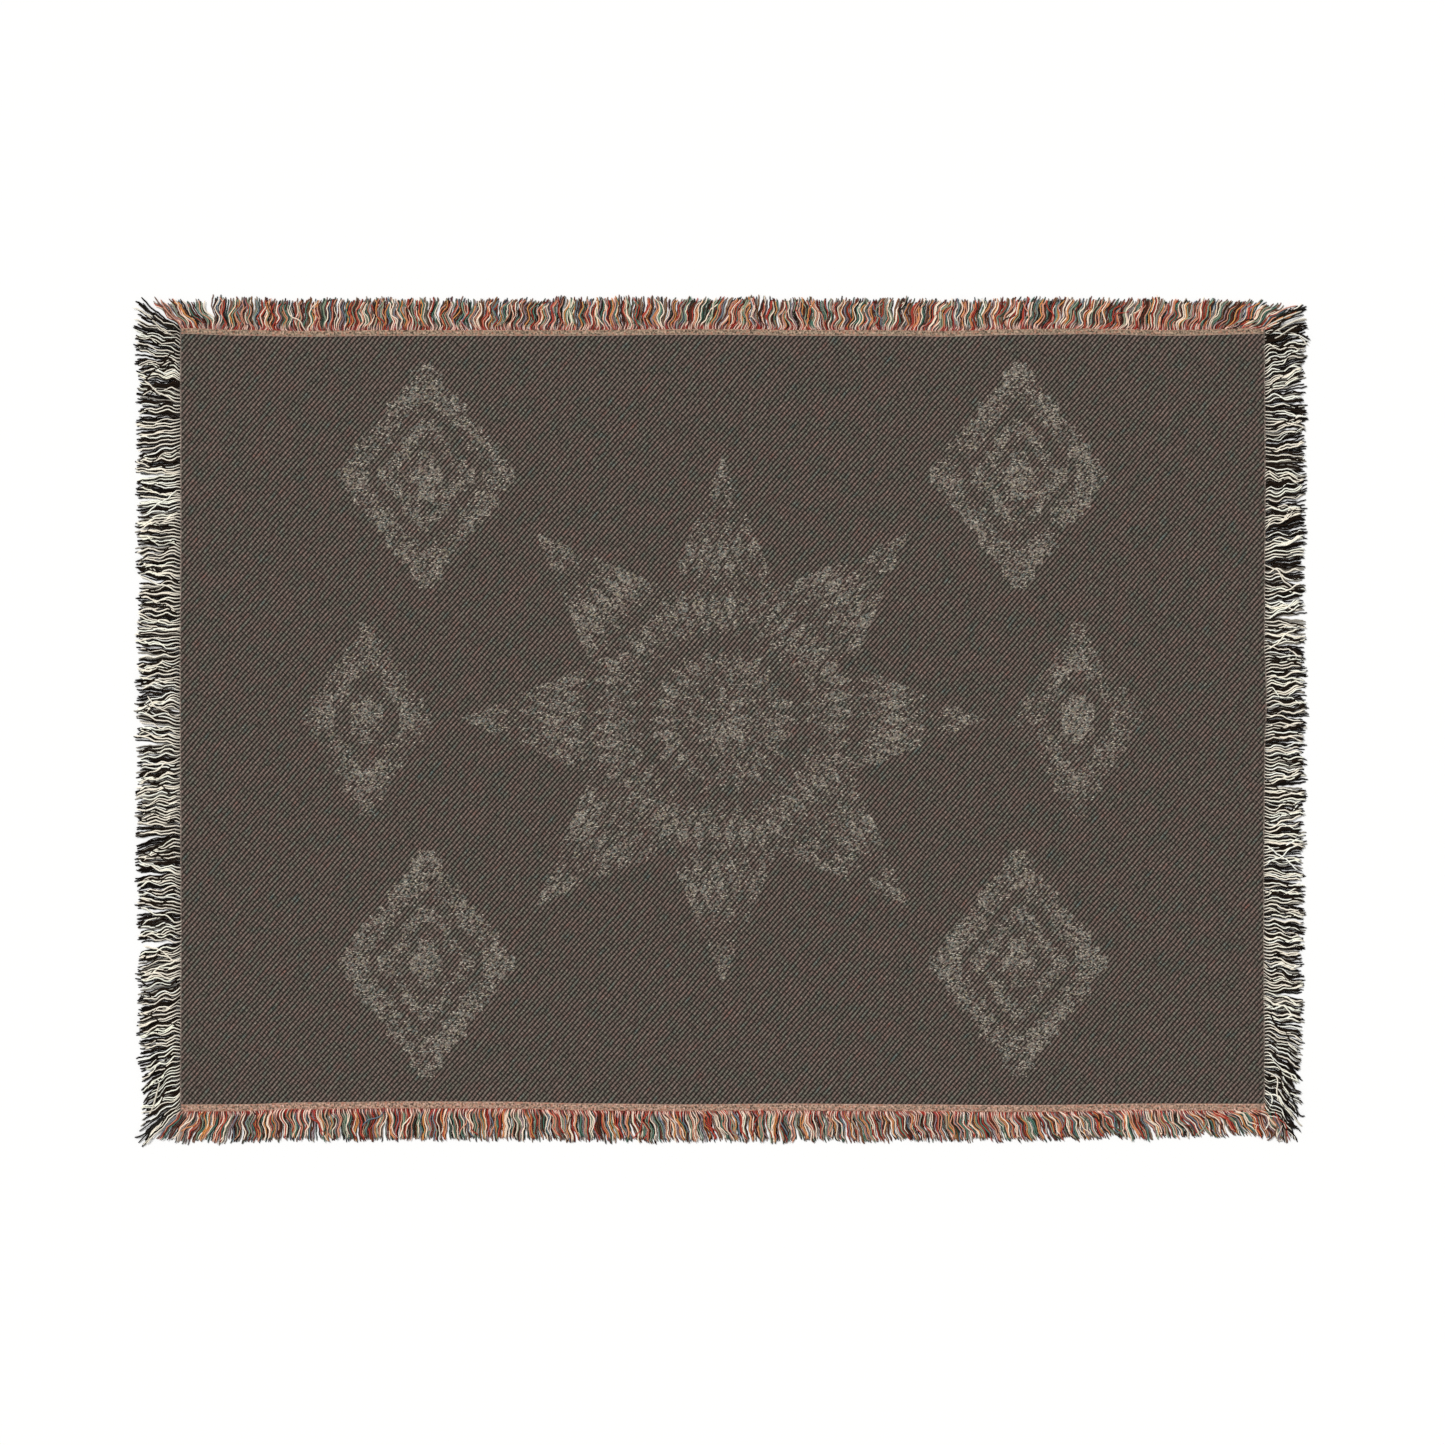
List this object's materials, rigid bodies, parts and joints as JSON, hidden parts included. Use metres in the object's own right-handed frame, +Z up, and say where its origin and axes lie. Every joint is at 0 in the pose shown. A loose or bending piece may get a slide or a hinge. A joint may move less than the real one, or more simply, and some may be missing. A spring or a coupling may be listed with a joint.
{
  "type": "woven throw blanket",
  "caption": "Rectangular woven cotton throw blanket lying flat, with a dark diagonal ground, a patterned middle and fringe along all its edges.",
  "frame": {"origin": "on the floor under the middle of the blanket", "axes": "+X along the long side, +Y along the short side, +Z up out of the patterned face"},
  "size_m": [1.3091, 0.9452, 0.0047],
  "materials": {
    "woven_cloth": "matt",
    "warp_fringe": "matt",
    "weft_fringe": "matt"
  },
  "bodies": {
    "root": {"woven_panel": "woven_cloth", "fringe_top": "warp_fringe", "fringe_bottom": "warp_fringe", "fringe_left": "weft_fringe", "fringe_right": "weft_fringe"}
  },
  "joints": []
}
